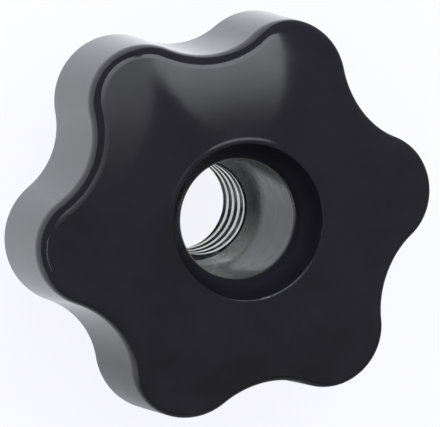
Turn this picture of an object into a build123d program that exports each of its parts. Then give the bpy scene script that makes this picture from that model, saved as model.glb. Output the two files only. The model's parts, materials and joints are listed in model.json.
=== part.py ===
from build123d import *

import os
from math import cos, radians, sin, sqrt, tan

# Six-lobed star knob with a moulded-in threaded bush.  All sizes are in millimetres.
# +Z is the knob's axis and points out of the domed front.  The origin is on that axis, in the plane
# of the bush's back end, which is the face that the knob is screwed down onto and can rest on.
# +X runs through the middle of one lobe.  The sizes over the noses and hollows, and all heights, are
# those of the sharp corners, before any edge is rounded.

# Rim: the lobed part that the hand turns.  Its outline is six convex noses joined by six hollows.
LOBE_COUNT = 6
ACROSS_LOBES = 35.0          # over the noses, at the back of the rim
ACROSS_HOLLOWS = 28.5        # over the bottoms of the hollows, at the back of the rim
NOSE_RADIUS = 5.5            # round of one nose, at the back of the rim
RIM_BACK = 7.9               # height of the rim's flat back
RIM_DRAFT = 4.75             # degrees; the rim narrows towards the front
FRONT_EDGE_RADIUS = 1.4
BACK_EDGE_RADIUS = 0.5

# Front: a shallow dome that ends at the lip of the mouth.
DOME_RADIUS = 55.5
DOME_TOP = 20.2              # height that the dome would reach on the axis
LIP_RADIUS = 6.25            # radius at which the dome meets the mouth
LIP_ROUND = 0.12

# Bore: a conical mouth, then a slightly tapered wall down to the bush.
MOUTH_HALF_ANGLE = 28.5      # degrees from the axis
MOUTH_ROUND = 2.3            # round between the mouth and the wall
BORE_END_RADIUS = 4.73       # at the bush
BORE_DRAFT = 0.5             # degrees

# Hub: the round boss behind the rim that holds the bush.
HUB_RADIUS = 8.3             # at its back end
HUB_DRAFT = 1.5              # degrees
HUB_BACK = 0.3               # the bush stands this far out of the hub
HUB_ROOT_RADIUS = 1.1
HUB_END_RADIUS = 0.5

# Bush for a 3/8 inch coarse thread, 16 turns to the inch.  The bore is the thread's core; its
# flanks are cut into that wall.
BUSH_LENGTH = 6.5
BUSH_RADIUS = 6.0
THREAD_CORE_RADIUS = 3.97
THREAD_ENTRY_RADIUS = 4.12   # wide end of the chamfer at each end of the thread
RETAINING_GROOVE_DEPTH = 0.7
RETAINING_GROOVE_WIDTH = 1.5
SPLINE_COUNT = 24            # shallow grooves along the bush that stop it turning
SPLINE_ROUND = 0.35
SPLINE_DEPTH = 0.25

# How far a cutting or filling shape runs past the surface that it only has to cross.
OVERRUN = 3.0

# How close to a height an edge lies when it counts as lying at that height.
NEAR = 0.01

FULL_TURN = 360.0


def nose_and_hollow():
    """Gives the distances of the nose and hollow centres from the axis, and the hollow's radius."""
    nose_centre = ACROSS_LOBES / 2 - NOSE_RADIUS
    hollow_floor = ACROSS_HOLLOWS / 2
    half_pitch = radians(FULL_TURN / LOBE_COUNT / 2)
    # The two circles touch, so the distance between their centres is the sum of their radii.
    step = NOSE_RADIUS - hollow_floor
    hollow_centre = (nose_centre**2 - step**2) / (2 * (nose_centre * cos(half_pitch) + step))
    return nose_centre, hollow_centre, hollow_centre - hollow_floor


def polar(distance, degrees):
    """A point in the plane of the outline."""
    return Vector(distance * cos(radians(degrees)), distance * sin(radians(degrees)))


def rim_outline():
    """The closed outline at the back of the rim, as one face."""
    nose_centre, hollow_centre, hollow_radius = nose_and_hollow()
    pitch = FULL_TURN / LOBE_COUNT
    arcs = []
    for lobe in range(LOBE_COUNT):
        middle = lobe * pitch
        nose = polar(nose_centre, middle)
        hollows = [polar(hollow_centre, middle + side * pitch / 2) for side in (-1, 1)]
        joins = [nose + (hollow - nose).normalized() * NOSE_RADIUS for hollow in hollows]
        next_nose = polar(nose_centre, middle + pitch)
        next_join = next_nose + (hollows[1] - next_nose).normalized() * NOSE_RADIUS
        hollow_floor = polar(hollow_centre - hollow_radius, middle + pitch / 2)
        arcs.append(ThreePointArc(joins[0], polar(ACROSS_LOBES / 2, middle), joins[1]))
        arcs.append(ThreePointArc(joins[1], hollow_floor, next_join))
    return make_face(Wire(arcs))


def rim():
    """The lobed block before its front is shaped: it runs past the dome."""
    face = Pos(0, 0, RIM_BACK) * rim_outline()
    return extrude(face, DOME_TOP + OVERRUN - RIM_BACK, taper=RIM_DRAFT)


def hub():
    """The boss, from its back end to well inside the rim."""
    inside = RIM_BACK + OVERRUN
    length = inside - HUB_BACK
    wide = HUB_RADIUS + length * tan(radians(HUB_DRAFT))
    boss = Pos(0, 0, HUB_BACK + length / 2) * Cone(HUB_RADIUS, wide, length)
    return fillet(boss.edges().sort_by(Axis.Z)[0], HUB_END_RADIUS)


def dome_height(radius):
    """Height of the dome at a distance from the axis."""
    return DOME_TOP - DOME_RADIUS + sqrt(DOME_RADIUS**2 - radius**2)


def mouth_corner():
    """Radius and height at which the mouth's cone and the bore's wall would meet in a sharp corner."""
    cone = tan(radians(MOUTH_HALF_ANGLE))
    wall = tan(radians(BORE_DRAFT))
    lip_height = dome_height(LIP_RADIUS)
    height = (LIP_RADIUS - lip_height * cone - BORE_END_RADIUS + BUSH_LENGTH * wall) / (wall - cone)
    return BORE_END_RADIUS + (height - BUSH_LENGTH) * wall, height


def front_and_bore():
    """What is cut away: all that lies above the dome, the mouth, and the bore down to the bush."""
    edge = ACROSS_LOBES / 2 + OVERRUN
    above = DOME_TOP + OVERRUN
    middle = (LIP_RADIUS + edge) / 2
    corner_radius, corner_height = mouth_corner()
    floor = (BORE_END_RADIUS, 0, BUSH_LENGTH)
    corner = (corner_radius, 0, corner_height)
    lip = (LIP_RADIUS, 0, dome_height(LIP_RADIUS))
    dome_edge = (edge, 0, dome_height(edge))
    sides = [
        Line((0, 0, BUSH_LENGTH), floor),
        Line(floor, corner),
        Line(corner, lip),
        ThreePointArc(lip, (middle, 0, dome_height(middle)), dome_edge),
        Line(dome_edge, (edge, 0, above)),
        Line((edge, 0, above), (0, 0, above)),
        Line((0, 0, above), (0, 0, BUSH_LENGTH)),
    ]
    section = make_face(Wire(sides))
    section = round_corner(section, corner, MOUTH_ROUND)
    section = round_corner(section, lip, LIP_ROUND)
    return revolve(section, Axis.Z)


def round_corner(section, place, radius):
    """Rounds the corner of a flat section that is nearest to a place."""
    nearest = section.vertices().sort_by_distance(place)[0]
    return fillet(nearest, radius)


def threaded_bush():
    """The metal bush: chamfered core bore, a groove and splines that lock it in the moulding."""
    middle = Pos(0, 0, BUSH_LENGTH / 2)
    bush = middle * Cylinder(BUSH_RADIUS, BUSH_LENGTH)
    bush -= middle * Cylinder(THREAD_CORE_RADIUS, BUSH_LENGTH)
    core_ends = bush.edges().filter_by(GeomType.CIRCLE).sort_by(SortBy.RADIUS)[:2]
    bush = chamfer(core_ends, THREAD_ENTRY_RADIUS - THREAD_CORE_RADIUS)
    groove = Cylinder(BUSH_RADIUS + OVERRUN, RETAINING_GROOVE_WIDTH)
    groove -= Cylinder(BUSH_RADIUS - RETAINING_GROOVE_DEPTH, RETAINING_GROOVE_WIDTH)
    bush -= middle * groove
    spline = Cylinder(SPLINE_ROUND, BUSH_LENGTH + OVERRUN)
    for place in PolarLocations(BUSH_RADIUS + SPLINE_ROUND - SPLINE_DEPTH, SPLINE_COUNT):
        bush -= middle * place * spline
    return bush


def knob_body(bush):
    """The one-piece moulding: lobed rim, domed front, hub and bore, moulded round the bush."""
    body = rim() - front_and_bore()
    dome = body.faces().filter_by(GeomType.SPHERE)[0]
    body = fillet(dome.outer_wire().edges(), FRONT_EDGE_RADIUS)
    back = body.faces().filter_by(Plane.XY).sort_by(Axis.Z)[0]
    body = fillet(back.outer_wire().edges(), BACK_EDGE_RADIUS)
    body += hub()
    at_rim_back = body.edges().filter_by_position(Axis.Z, RIM_BACK - NEAR, RIM_BACK + NEAR)
    body = fillet(at_rim_back.filter_by(lambda edge: edge.is_closed), HUB_ROOT_RADIUS)
    core = Pos(0, 0, BUSH_LENGTH / 2) * Cylinder(THREAD_ENTRY_RADIUS, BUSH_LENGTH)
    return body - front_and_bore() - (bush + core)


def main():
    """Writes each piece to its own file."""
    os.makedirs("parts", exist_ok=True)
    bush = threaded_bush()
    export_step(bush, "parts/threaded_bush.step")
    export_step(knob_body(bush), "parts/knob_body.step")


if __name__ == "__main__":
    main()
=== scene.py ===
"""Looks of a six-lobed star knob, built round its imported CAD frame.

The knob is a glossy black moulding with a tapped steel bush moulded into its hub.  It rests on the
bush's back end with its domed front up, on a plain white table, and the camera looks down on it.
"""

import json
import logging
import math
from dataclasses import dataclass
from enum import Enum
from typing import NamedTuple

import bpy
from mathutils import Matrix, Vector

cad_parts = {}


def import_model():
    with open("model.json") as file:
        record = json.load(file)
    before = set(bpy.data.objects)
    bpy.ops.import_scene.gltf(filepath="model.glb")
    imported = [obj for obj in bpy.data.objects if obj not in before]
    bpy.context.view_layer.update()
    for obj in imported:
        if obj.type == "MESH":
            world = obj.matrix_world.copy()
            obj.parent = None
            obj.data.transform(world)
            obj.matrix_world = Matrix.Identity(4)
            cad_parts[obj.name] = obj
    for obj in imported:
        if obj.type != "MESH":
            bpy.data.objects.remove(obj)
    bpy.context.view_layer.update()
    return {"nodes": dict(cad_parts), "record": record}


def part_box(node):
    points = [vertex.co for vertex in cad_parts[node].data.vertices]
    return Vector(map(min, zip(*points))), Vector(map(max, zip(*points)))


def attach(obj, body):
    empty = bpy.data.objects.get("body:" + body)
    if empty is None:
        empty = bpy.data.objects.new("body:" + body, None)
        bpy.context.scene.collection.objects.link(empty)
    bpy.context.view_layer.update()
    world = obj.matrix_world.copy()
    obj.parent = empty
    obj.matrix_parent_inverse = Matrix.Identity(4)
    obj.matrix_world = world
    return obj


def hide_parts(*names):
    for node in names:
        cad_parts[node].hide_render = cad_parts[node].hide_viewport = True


LOG = logging.getLogger("star_knob")

MM = 0.001
TURN = 2.0 * math.pi

Colour = tuple[float, float, float]

# A Mix node repeats its socket names for each kind of data, so they are chosen by number.
MIX_FACTOR = 0
NUMBER_A, NUMBER_B, NUMBER_OUT = 2, 3, 0
COLOUR_A, COLOUR_B, COLOUR_OUT = 6, 7, 2


class Ray(Enum):
    """The kinds of ray that look at the table, by Light Path output."""

    CAMERA = "Is Camera Ray"
    GLOSSY = "Is Glossy Ray"
    TRANSMISSION = "Is Transmission Ray"


class Slot(Enum):
    """A material slot named in the record."""

    STEEL = "plated_steel"


class Blank(NamedTuple):
    """A material with a Principled shader and nothing else in it."""

    material: bpy.types.Material
    nodes: bpy.types.Nodes
    links: bpy.types.NodeLinks
    shader: bpy.types.Node


# --------------------------------------------------------------------------------------------
# Helpers for modelling
# --------------------------------------------------------------------------------------------


def clear_selection() -> None:
    """Deselects every object, so that an operator acts only on what is chosen next."""
    bpy.ops.object.select_all(action="DESELECT")


def choose(piece: bpy.types.Object) -> None:
    """Makes one object the only selected one, and the active one."""
    clear_selection()
    piece.select_set(True)
    bpy.context.view_layer.objects.active = piece


def apply_modifiers(piece: bpy.types.Object) -> None:
    """Applies every modifier of a piece, in order."""
    choose(piece)
    for modifier in list(piece.modifiers):
        bpy.ops.object.modifier_apply(modifier=modifier.name)


def merged_copy(node: bpy.types.Object, name: str) -> bpy.types.Object:
    """Copies a CAD node and joins its loose triangles into one closed surface.

    Args:
        node: The CAD node, which is left as it is.
        name: Name of the copy.

    Returns:
        The copy, with no material.
    """
    copy = bpy.data.objects.new(name, node.data.copy())
    bpy.context.scene.collection.objects.link(copy)
    copy.data.materials.clear()
    choose(copy)
    bpy.ops.mesh.customdata_custom_splitnormals_clear()
    bpy.ops.object.mode_set(mode="EDIT")
    bpy.ops.mesh.select_all(action="SELECT")
    bpy.ops.mesh.remove_doubles(threshold=0.0005 * MM)
    bpy.ops.mesh.normals_make_consistent(inside=False)
    bpy.ops.object.mode_set(mode="OBJECT")
    return copy


# --------------------------------------------------------------------------------------------
# Effects that more than one finish uses
# --------------------------------------------------------------------------------------------


def new_group(name: str, inputs: dict[str, float], output: str) -> bpy.types.NodeTree:
    """Starts a shader node group with a Vector input, some numbers and one number out.

    Args:
        name: Name of the group.
        inputs: Default of each number that goes in, by socket name.
        output: Name of the number that comes out.

    Returns:
        The group, with its two end nodes named "in" and "out".
    """
    group = bpy.data.node_groups.new(name, "ShaderNodeTree")
    group.interface.new_socket("Vector", in_out="INPUT", socket_type="NodeSocketVector")
    for socket, value in inputs.items():
        made = group.interface.new_socket(socket, in_out="INPUT", socket_type="NodeSocketFloat")
        made.default_value = value
    group.interface.new_socket(output, in_out="OUTPUT", socket_type="NodeSocketFloat")
    start = group.nodes.new("NodeGroupInput")
    start.name = "in"
    end = group.nodes.new("NodeGroupOutput")
    end.name = "out"
    return group


def mottle_group() -> bpy.types.NodeTree:
    """Soft cloudy variation between two values, as in an uneven polish or a light tarnish."""
    group = new_group("mottle", {"Scale": 300.0, "Low": 0.0, "High": 1.0}, "Value")
    nodes, links = group.nodes, group.links
    cloud = nodes.new("ShaderNodeTexNoise")
    cloud.inputs["Detail"].default_value = 4.0
    cloud.inputs["Roughness"].default_value = 0.6
    links.new(nodes["in"].outputs["Vector"], cloud.inputs["Vector"])
    links.new(nodes["in"].outputs["Scale"], cloud.inputs["Scale"])
    spread = nodes.new("ShaderNodeMapRange")
    spread.inputs["From Min"].default_value = 0.35
    spread.inputs["From Max"].default_value = 0.65
    links.new(cloud.outputs["Fac"], spread.inputs["Value"])
    links.new(nodes["in"].outputs["Low"], spread.inputs["To Min"])
    links.new(nodes["in"].outputs["High"], spread.inputs["To Max"])
    links.new(spread.outputs["Result"], nodes["out"].inputs["Value"])
    return group


def radius_group() -> bpy.types.NodeTree:
    """A mask that is 1 near the knob's axis and falls to 0 between two radii."""
    group = new_group("near_axis", {"Inner": 5.0 * MM, "Outer": 6.0 * MM}, "Mask")
    nodes, links = group.nodes, group.links
    flat = nodes.new("ShaderNodeVectorMath")
    flat.operation = "MULTIPLY"
    flat.inputs[1].default_value = (1.0, 1.0, 0.0)
    links.new(nodes["in"].outputs["Vector"], flat.inputs[0])
    radius = nodes.new("ShaderNodeVectorMath")
    radius.operation = "LENGTH"
    links.new(flat.outputs["Vector"], radius.inputs[0])
    fall = nodes.new("ShaderNodeMapRange")
    fall.interpolation_type = "SMOOTHSTEP"
    fall.inputs["To Min"].default_value = 1.0
    fall.inputs["To Max"].default_value = 0.0
    links.new(radius.outputs["Value"], fall.inputs["Value"])
    links.new(nodes["in"].outputs["Inner"], fall.inputs["From Min"])
    links.new(nodes["in"].outputs["Outer"], fall.inputs["From Max"])
    links.new(fall.outputs["Result"], nodes["out"].inputs["Mask"])
    return group


def tool_marks_group() -> bpy.types.NodeTree:
    """Fine rings left by turning, slightly broken up, as heights between 0 and 1."""
    group = new_group("tool_marks", {"Fineness": 9000.0, "Breakup": 500.0}, "Height")
    nodes, links = group.nodes, group.links
    rings = nodes.new("ShaderNodeVectorMath")
    rings.operation = "MULTIPLY"
    rings.inputs[1].default_value = (0.04, 0.04, 1.0)
    links.new(nodes["in"].outputs["Vector"], rings.inputs[0])
    fine = nodes.new("ShaderNodeTexNoise")
    fine.inputs["Detail"].default_value = 2.0
    links.new(rings.outputs["Vector"], fine.inputs["Vector"])
    links.new(nodes["in"].outputs["Fineness"], fine.inputs["Scale"])
    coarse = nodes.new("ShaderNodeTexNoise")
    coarse.inputs["Detail"].default_value = 3.0
    links.new(nodes["in"].outputs["Vector"], coarse.inputs["Vector"])
    links.new(nodes["in"].outputs["Breakup"], coarse.inputs["Scale"])
    both = nodes.new("ShaderNodeMath")
    both.operation = "MULTIPLY_ADD"
    both.inputs[1].default_value = 0.6
    links.new(coarse.outputs["Fac"], both.inputs[0])
    links.new(fine.outputs["Fac"], both.inputs[2])
    links.new(both.outputs["Value"], nodes["out"].inputs["Height"])
    return group


@dataclass(frozen=True)
class Effects:
    """The shared node groups, built once."""

    mottle: bpy.types.NodeTree
    near_axis: bpy.types.NodeTree
    tool_marks: bpy.types.NodeTree

    @classmethod
    def build(cls) -> "Effects":
        """Builds every group."""
        return cls(mottle_group(), radius_group(), tool_marks_group())


# --------------------------------------------------------------------------------------------
# Finishes
# --------------------------------------------------------------------------------------------


def blank_material(name: str) -> Blank:
    """Makes a material that holds only a Principled shader joined to its output.

    Args:
        name: Name of the material.

    Returns:
        The material, its nodes, its links and its shader.
    """
    material = bpy.data.materials.new(name)
    material.use_nodes = True
    nodes, links = material.node_tree.nodes, material.node_tree.links
    nodes.clear()
    output = nodes.new("ShaderNodeOutputMaterial")
    shader = nodes.new("ShaderNodeBsdfPrincipled")
    links.new(shader.outputs["BSDF"], output.inputs["Surface"])
    return Blank(material, nodes, links, shader)


def place_effect(
    blank: Blank, group: bpy.types.NodeTree, place: bpy.types.NodeSocket, **values: float
) -> bpy.types.NodeSocket:
    """Puts a shared effect into a material.

    Args:
        blank: The material.
        group: The effect's node group.
        place: The coordinates that it reads.
        **values: A number for each of the effect's own inputs.

    Returns:
        The effect's output.
    """
    node = blank.nodes.new("ShaderNodeGroup")
    node.node_tree = group
    blank.links.new(place, node.inputs["Vector"])
    for socket, value in values.items():
        node.inputs[socket].default_value = value
    return node.outputs[0]


def blend(
    blank: Blank, mask: bpy.types.NodeSocket, outside: bpy.types.NodeSocket, inside: bpy.types.NodeSocket
) -> bpy.types.NodeSocket:
    """Mixes two varying numbers by a mask.

    Args:
        blank: The material.
        mask: 0 gives outside and 1 gives inside.
        outside: First number.
        inside: Second number.

    Returns:
        The mixed number.
    """
    mix = blank.nodes.new("ShaderNodeMix")
    mix.data_type = "FLOAT"
    blank.links.new(mask, mix.inputs[MIX_FACTOR])
    blank.links.new(outside, mix.inputs[NUMBER_A])
    blank.links.new(inside, mix.inputs[NUMBER_B])
    return mix.outputs[NUMBER_OUT]


def colour_between(
    blank: Blank, mask: bpy.types.NodeSocket, first: Colour | bpy.types.NodeSocket, second: Colour
) -> bpy.types.NodeSocket:
    """Mixes two colours by a mask.

    Args:
        blank: The material.
        mask: 0 gives the first colour and 1 gives the second.
        first: Linear red, green and blue, or a colour that varies.
        second: Linear red, green and blue.

    Returns:
        The mixed colour.
    """
    mix = blank.nodes.new("ShaderNodeMix")
    mix.data_type = "RGBA"
    blank.links.new(mask, mix.inputs[MIX_FACTOR])
    if isinstance(first, bpy.types.NodeSocket):
        blank.links.new(first, mix.inputs[COLOUR_A])
    else:
        mix.inputs[COLOUR_A].default_value = (*first, 1.0)
    mix.inputs[COLOUR_B].default_value = (*second, 1.0)
    return mix.outputs[COLOUR_OUT]


def add_bump(
    blank: Blank, height: bpy.types.NodeSocket, depth: float, under: bpy.types.Node | None = None
) -> bpy.types.Node:
    """Adds a bump to a material.

    Args:
        blank: The material.
        height: Varying height, from 0 to 1.
        depth: What a height of 1 stands for, in metres.
        under: A bump that this one is laid over.

    Returns:
        The bump node.
    """
    bump = blank.nodes.new("ShaderNodeBump")
    bump.inputs["Distance"].default_value = depth
    blank.links.new(height, bump.inputs["Height"])
    if under is not None:
        blank.links.new(under.outputs["Normal"], bump.inputs["Normal"])
    return bump


@dataclass(frozen=True)
class BlackMoulding:
    """Polished black thermoset: glossy outside, duller and mottled down the bore, where its colour is
    lightened as a painted sheen.
    """

    colour: Colour = (0.026, 0.024, 0.034)
    cloud_colour: Colour = (0.018, 0.017, 0.024)
    # painted sheen: a lighter colour down the bore, standing in for light reflected from the bright opening
    painted_bore_sheen: Colour = (0.034, 0.032, 0.042)
    polish: tuple[float, float] = (0.07, 0.12)
    bore_polish: tuple[float, float] = (0.13, 0.26)
    ior: float = 1.55
    bore_inner: float = 5.2 * MM
    bore_outer: float = 5.9 * MM
    waviness: float = 0.004 * MM
    bore_marks: float = 0.003 * MM
    bead: tuple[float, float, float] = (6.25 * MM, 6.45 * MM, 6.75 * MM)
    bead_rise: float = 0.02 * MM
    bead_above: float = 12.0 * MM
    polish_scale: float = 260.0
    bore_polish_scale: float = 1100.0
    cloud_scale: float = 210.0
    wave_scale: float = 130.0
    marks_fineness: float = 6000.0
    marks_breakup: float = 1500.0

    def build(self, effects: Effects) -> bpy.types.Material:
        """Makes the material.

        Args:
            effects: The shared node groups.

        Returns:
            The material.
        """
        blank = blank_material("polished_black_moulding")
        blank.shader.inputs["IOR"].default_value = self.ior
        place = blank.nodes.new("ShaderNodeTexCoord").outputs["Object"]
        bore = place_effect(blank, effects.near_axis, place, Inner=self.bore_inner, Outer=self.bore_outer)
        low, high = self.polish
        outside = place_effect(blank, effects.mottle, place, Scale=self.polish_scale, Low=low, High=high)
        low, high = self.bore_polish
        inside = place_effect(blank, effects.mottle, place, Scale=self.bore_polish_scale, Low=low, High=high)
        blank.links.new(blend(blank, bore, outside, inside), blank.shader.inputs["Roughness"])
        clouds = place_effect(blank, effects.mottle, place, Scale=self.cloud_scale, Low=0.0, High=1.0)
        body = colour_between(blank, clouds, self.colour, self.cloud_colour)
        # The bore is tinted lighter than the body: a painted sheen standing in for the light that the bright
        # opening throws on the bore wall.
        tint = colour_between(blank, bore, body, self.painted_bore_sheen)
        blank.links.new(tint, blank.shader.inputs["Base Color"])
        wave = place_effect(blank, effects.mottle, place, Scale=self.wave_scale, Low=0.0, High=1.0)
        soft = add_bump(blank, wave, self.waviness)
        marks = place_effect(
            blank, effects.tool_marks, place, Fineness=self.marks_fineness, Breakup=self.marks_breakup
        )
        in_bore = blank.nodes.new("ShaderNodeMath")
        in_bore.operation = "MULTIPLY"
        blank.links.new(marks, in_bore.inputs[0])
        blank.links.new(bore, in_bore.inputs[1])
        rough = add_bump(blank, in_bore.outputs["Value"], self.bore_marks, soft)
        raised = add_bump(blank, self.lip_bead(blank, effects, place), self.bead_rise, rough)
        blank.links.new(raised.outputs["Normal"], blank.shader.inputs["Normal"])
        return blank.material

    def lip_bead(
        self, blank: Blank, effects: Effects, place: bpy.types.NodeSocket
    ) -> bpy.types.NodeSocket:
        """Height of the faint raised line round the lip of the mouth.

        Args:
            blank: The material.
            effects: The shared node groups.
            place: Object coordinates.

        Returns:
            A height that is 1 on top of the bead and 0 off it.
        """
        start, crest, end = self.bead
        within = place_effect(blank, effects.near_axis, place, Inner=crest, Outer=end)
        hole = place_effect(blank, effects.near_axis, place, Inner=start, Outer=crest)
        ring = blank.nodes.new("ShaderNodeMath")
        ring.operation = "SUBTRACT"
        blank.links.new(within, ring.inputs[0])
        blank.links.new(hole, ring.inputs[1])
        split = blank.nodes.new("ShaderNodeSeparateXYZ")
        blank.links.new(place, split.inputs["Vector"])
        front = blank.nodes.new("ShaderNodeMath")
        front.operation = "GREATER_THAN"
        front.inputs[1].default_value = self.bead_above
        blank.links.new(split.outputs["Z"], front.inputs[0])
        only_front = blank.nodes.new("ShaderNodeMath")
        only_front.operation = "MULTIPLY"
        blank.links.new(ring.outputs["Value"], only_front.inputs[0])
        blank.links.new(front.outputs["Value"], only_front.inputs[1])
        return only_front.outputs["Value"]


@dataclass(frozen=True)
class TappedSteel:
    """Bright plated steel, turned and tapped, with a faint warm-green cast in its duller patches."""

    bright: Colour = (0.88, 0.89, 0.86)
    dull: Colour = (0.58, 0.6, 0.55)
    polish: tuple[float, float] = (0.12, 0.28)
    marks: float = 0.006 * MM
    patch_scale: float = 900.0
    polish_scale: float = 1600.0
    marks_fineness: float = 12000.0
    marks_breakup: float = 2500.0

    def build(self, effects: Effects) -> bpy.types.Material:
        """Makes the material.

        Args:
            effects: The shared node groups.

        Returns:
            The material.
        """
        blank = blank_material("tapped_steel")
        blank.shader.inputs["Metallic"].default_value = 1.0
        place = blank.nodes.new("ShaderNodeTexCoord").outputs["Object"]
        patches = place_effect(blank, effects.mottle, place, Scale=self.patch_scale, Low=0.0, High=1.0)
        tarnish = colour_between(blank, patches, self.bright, self.dull)
        blank.links.new(tarnish, blank.shader.inputs["Base Color"])
        low, high = self.polish
        rough = place_effect(blank, effects.mottle, place, Scale=self.polish_scale, Low=low, High=high)
        blank.links.new(rough, blank.shader.inputs["Roughness"])
        rings = place_effect(
            blank, effects.tool_marks, place, Fineness=self.marks_fineness, Breakup=self.marks_breakup
        )
        bump = add_bump(blank, rings, self.marks)
        blank.links.new(bump.outputs["Normal"], blank.shader.inputs["Normal"])
        return blank.material


@dataclass(frozen=True)
class WhiteTable:
    """A matt white table, white to the camera, whose light in reflections falls off to the right."""

    colour: float = 0.8
    seen_glow: Colour = (0.875, 0.875, 0.925)
    mirrored_tint: Colour = (0.93, 0.94, 1.0)
    middle: float = 0.76
    slope: tuple[float, float] = (-13.0, 25.0)
    faintest: float = 0.05
    brightest: float = 1.1
    dark_side: tuple[float, float] = (13.0 * MM, 20.5 * MM)
    diffuse_share: float = 0.28

    def mirrored(self, blank: Blank) -> bpy.types.NodeSocket:
        """Brightness of the table in reflections, by place on the table.

        Args:
            blank: The table's material.

        Returns:
            The strength of its glow.
        """
        place = blank.nodes.new("ShaderNodeTexCoord").outputs["Object"]
        along = blank.nodes.new("ShaderNodeVectorMath")
        along.operation = "DOT_PRODUCT"
        along.inputs[1].default_value = (*self.slope, 0.0)
        blank.links.new(place, along.inputs[0])
        level = blank.nodes.new("ShaderNodeMath")
        level.operation = "ADD"
        level.inputs[1].default_value = self.middle
        blank.links.new(along.outputs["Value"], level.inputs[0])
        limit = blank.nodes.new("ShaderNodeClamp")
        limit.inputs["Min"].default_value = self.faintest
        limit.inputs["Max"].default_value = self.brightest
        blank.links.new(level.outputs["Value"], limit.inputs["Value"])
        split = blank.nodes.new("ShaderNodeSeparateXYZ")
        blank.links.new(place, split.inputs["Vector"])
        fall = blank.nodes.new("ShaderNodeMapRange")
        fall.interpolation_type = "SMOOTHSTEP"
        fall.inputs["From Min"].default_value, fall.inputs["From Max"].default_value = self.dark_side
        fall.inputs["To Min"].default_value = 1.0
        fall.inputs["To Max"].default_value = self.faintest
        blank.links.new(split.outputs["X"], fall.inputs["Value"])
        strength = blank.nodes.new("ShaderNodeMath")
        strength.operation = "MULTIPLY"
        blank.links.new(limit.outputs["Result"], strength.inputs[0])
        blank.links.new(fall.outputs["Result"], strength.inputs[1])
        return strength.outputs["Value"]

    def build(self) -> bpy.types.Material:
        """Makes the material.

        Returns:
            The material.
        """
        blank = blank_material("white_table")
        nodes, links = blank.nodes, blank.links
        nodes.remove(blank.shader)
        matt = nodes.new("ShaderNodeBsdfDiffuse")
        matt.inputs["Color"].default_value = (self.colour, self.colour, self.colour, 1.0)
        weak = nodes.new("ShaderNodeBsdfDiffuse")
        share = self.colour * self.diffuse_share
        weak.inputs["Color"].default_value = (share, share, share, 1.0)
        path = nodes.new("ShaderNodeLightPath")
        seen = self.layer(blank, weak, self.seen_glow)
        mirror = self.layer(blank, weak, self.mirrored_tint, self.mirrored(blank))
        surface = matt.outputs["BSDF"]
        for ray, shown in ((Ray.GLOSSY, mirror), (Ray.TRANSMISSION, mirror), (Ray.CAMERA, seen)):
            choice = nodes.new("ShaderNodeMixShader")
            links.new(path.outputs[ray.value], choice.inputs["Fac"])
            links.new(surface, choice.inputs[1])
            links.new(shown, choice.inputs[2])
            surface = choice.outputs["Shader"]
        output = next(node for node in nodes if node.bl_idname == "ShaderNodeOutputMaterial")
        links.new(surface, output.inputs["Surface"])
        return blank.material

    def layer(
        self,
        blank: Blank,
        under: bpy.types.Node,
        tint: tuple[float, float, float],
        strength: bpy.types.NodeSocket | None = None,
    ) -> bpy.types.NodeSocket:
        """A glow laid over a weak matt surface.

        Args:
            blank: The table's material.
            under: The matt shader.
            tint: Colour of the glow.
            strength: Varying strength of the glow, or none where it is 1.

        Returns:
            The two shaders, added.
        """
        glow = blank.nodes.new("ShaderNodeEmission")
        glow.inputs["Color"].default_value = (*tint, 1.0)
        if strength is not None:
            blank.links.new(strength, glow.inputs["Strength"])
        both = blank.nodes.new("ShaderNodeAddShader")
        blank.links.new(under.outputs["BSDF"], both.inputs[0])
        blank.links.new(glow.outputs["Emission"], both.inputs[1])
        return both.outputs["Shader"]


# --------------------------------------------------------------------------------------------
# The knob
# --------------------------------------------------------------------------------------------


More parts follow.
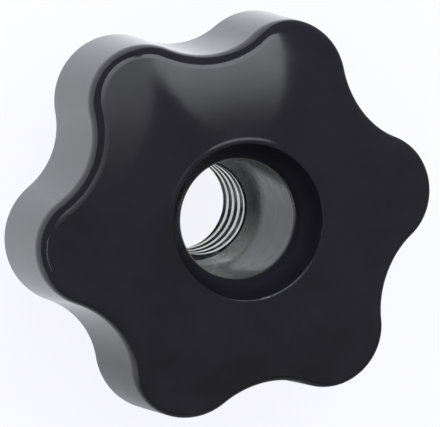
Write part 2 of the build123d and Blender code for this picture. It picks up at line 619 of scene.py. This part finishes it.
@dataclass
class ThreadedBush:
    """The steel bush: the CAD bush with a coarse thread, 16 turns to the inch, cut through it.

    The thread has 60 degree flanks and is cut shallow, so that its crests are wide flats.
    """

    node: bpy.types.Object
    core_radius: float
    length: float
    pitch: float = 25.4 / 16 * MM
    flank: float = math.radians(30.0)
    crest_share: float = 0.42
    root_share: float = 0.125
    facets: int = 120

    def tap(self) -> bpy.types.Object:
        """Models the tool that cuts the thread: a helical ridge, longer than the bush.

        Returns:
            The ridge, as a closed object.
        """
        half_root = self.pitch * self.root_share / 2.0
        half_core = self.pitch * (1.0 - self.crest_share) / 2.0
        outer = self.core_radius + (half_core - half_root) / math.tan(self.flank)
        reach = 0.15 * MM
        inner = self.core_radius - reach
        half_inner = half_core + reach * math.tan(self.flank)
        corners = [(inner, -half_inner), (outer, -half_root), (outer, half_root), (inner, half_inner)]
        clear_selection()
        bpy.ops.mesh.primitive_circle_add(vertices=len(corners), radius=inner, fill_type="NGON")
        ridge = bpy.context.object
        start = -1.5 * self.pitch
        for corner, (radius, height) in zip(ridge.data.vertices, corners):
            corner.co = (radius, 0.0, start + height)
        screw = ridge.modifiers.new("helix", "SCREW")
        screw.axis = "Z"
        screw.angle = TURN
        screw.screw_offset = self.pitch
        screw.iterations = math.ceil(self.length / self.pitch) + 3
        screw.steps = screw.render_steps = self.facets
        screw.use_merge_vertices = False
        apply_modifiers(ridge)
        bpy.ops.object.mode_set(mode="EDIT")
        bpy.ops.mesh.select_all(action="SELECT")
        bpy.ops.mesh.remove_doubles(threshold=0.0005 * MM)
        bpy.ops.mesh.select_all(action="DESELECT")
        bpy.ops.mesh.select_non_manifold()
        bpy.ops.mesh.edge_face_add()
        bpy.ops.mesh.select_all(action="SELECT")
        bpy.ops.mesh.normals_make_consistent(inside=False)
        bpy.ops.object.mode_set(mode="OBJECT")
        return ridge

    def build(self, effects: Effects) -> bpy.types.Object:
        """Models and dresses the bush.

        Args:
            effects: The shared node groups.

        Returns:
            The threaded bush.
        """
        bush = merged_copy(self.node, "tapped_bush")
        ridge = self.tap()
        cut = bush.modifiers.new("thread", "BOOLEAN")
        cut.operation = "DIFFERENCE"
        cut.solver = "EXACT"
        cut.object = ridge
        apply_modifiers(bush)
        bpy.data.objects.remove(ridge, do_unlink=True)
        choose(bush)
        bpy.ops.object.shade_smooth_by_angle(angle=math.radians(25.0))
        bush.data.materials.clear()
        bush.data.materials.append(TappedSteel().build(effects))
        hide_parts("threaded_bush")
        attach(bush, "root")
        return bush


# --------------------------------------------------------------------------------------------
# The studio
# --------------------------------------------------------------------------------------------


@dataclass(frozen=True)
class SoftBox:
    """An oval soft lamp that faces straight down, and may fade towards its near edge."""

    name: str
    place: tuple[float, float, float]
    size: tuple[float, float]
    radiance: float
    fade: tuple[float, float] | None = None
    tint: Colour = (0.93, 0.95, 1.0)

    def hang(self) -> None:
        """Hangs the lamp."""
        clear_selection()
        bpy.ops.object.light_add(type="AREA", location=self.place)
        lamp = bpy.context.object
        lamp.name = self.name
        light = lamp.data
        light.shape = "ELLIPSE"
        light.size, light.size_y = self.size
        light.color = self.tint
        light.energy = self.radiance * math.pi * math.pi / 4.0 * self.size[0] * self.size[1]
        if self.fade is not None:
            self.soften(light, self.fade)

    def soften(self, light: bpy.types.AreaLight, fade: tuple[float, float]) -> None:
        """Makes the lamp's light rise across its depth.

        Args:
            light: The lamp's data.
            fade: Where the rise starts and ends, as shares of the depth.
        """
        light.use_nodes = True
        nodes, links = light.node_tree.nodes, light.node_tree.links
        split = nodes.new("ShaderNodeSeparateXYZ")
        links.new(nodes.new("ShaderNodeNewGeometry").outputs["Parametric"], split.inputs["Vector"])
        rise = nodes.new("ShaderNodeMapRange")
        rise.interpolation_type = "SMOOTHSTEP"
        rise.inputs["From Min"].default_value, rise.inputs["From Max"].default_value = fade
        links.new(split.outputs["Y"], rise.inputs["Value"])
        links.new(rise.outputs["Result"], nodes["Emission"].inputs["Strength"])


@dataclass
class Studio:
    """The table, the lamps and the camera."""

    unit: float = 16.72 * MM
    front_plane: float = 17.5 * MM
    distance: float = 11.0
    yaw: float = math.radians(17.2)
    pitch: float = math.radians(5.08)
    roll: float = math.radians(9.3)
    shift: tuple[float, float] = (0.0955, -0.0285)
    lens: float = 187.8
    sensor_width: float = 36.0
    clip_start: float = 0.01
    table_size: float = 3.0
    world_tint: Colour = (0.92, 0.94, 1.0)
    world_strength: float = 0.21

    def table(self) -> None:
        """Lays the table that the knob stands on."""
        clear_selection()
        bpy.ops.mesh.primitive_plane_add(size=self.table_size)
        table = bpy.context.object
        table.name = "table"
        table.data.materials.append(WhiteTable().build())

    def camera(self) -> None:
        """Places the camera above the knob, looking down on its front."""
        turn = (
            Matrix.Rotation(self.pitch, 3, "X")
            @ Matrix.Rotation(self.yaw, 3, "Y")
            @ Matrix.Rotation(self.roll, 3, "Z")
        ).transposed()
        offset = Vector((-self.shift[0], -self.shift[1], self.distance)) * self.unit
        clear_selection()
        bpy.ops.object.camera_add()
        camera = bpy.context.object
        place = turn.to_4x4()
        place.translation = turn @ offset + Vector((0.0, 0.0, self.front_plane))
        camera.matrix_world = place
        camera.data.lens = self.lens
        camera.data.sensor_width = self.sensor_width
        camera.data.clip_start = self.clip_start
        bpy.context.scene.camera = camera

    def light(self) -> None:
        """Sets the world and hangs the lamps."""
        world = bpy.data.worlds.new("studio")
        bpy.context.scene.world = world
        world.use_nodes = True
        background = world.node_tree.nodes["Background"]
        background.inputs["Color"].default_value = (*self.world_tint, 1.0)
        background.inputs["Strength"].default_value = self.world_strength
        boxes = (
            SoftBox("upper_soft_box", (0.17, 0.33, 0.5), (0.29, 0.52), 3.2, (0.0, 0.35)),
            SoftBox("upper_left_soft_box", (-0.17, 0.3, 0.5), (0.42, 0.62), 2.6, (0.0, 0.8)),
            SoftBox("left_strip", (-0.5, -0.06, 0.5), (0.036, 0.3), 6.0),
        )
        for box in boxes:
            box.hang()
            LOG.info("hung %s", box.name)


def main() -> None:
    """Builds the knob and the studio."""
    logging.basicConfig(level=logging.INFO, format="%(name)s: %(message)s")
    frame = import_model()
    effects = Effects.build()
    body = frame["nodes"]["knob_body"]
    body.material_slots[0].material = BlackMoulding().build(effects)
    LOG.info("dressed knob_body")
    mounts = {mount["name"]: mount for mount in frame["record"]["mounts"]}
    low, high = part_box("threaded_bush")
    bush = ThreadedBush(
        node=frame["nodes"]["threaded_bush"],
        core_radius=mounts["stud_thread"]["dims"]["r_mm"] * MM,
        length=high[2] - low[2],
    ).build(effects)
    LOG.info("%s has %d faces", bush.name, len(bush.data.polygons))
    studio = Studio()
    studio.table()
    studio.light()
    studio.camera()
    bpy.context.scene.view_settings.view_transform = "Standard"


if __name__ == "__main__":
    main()
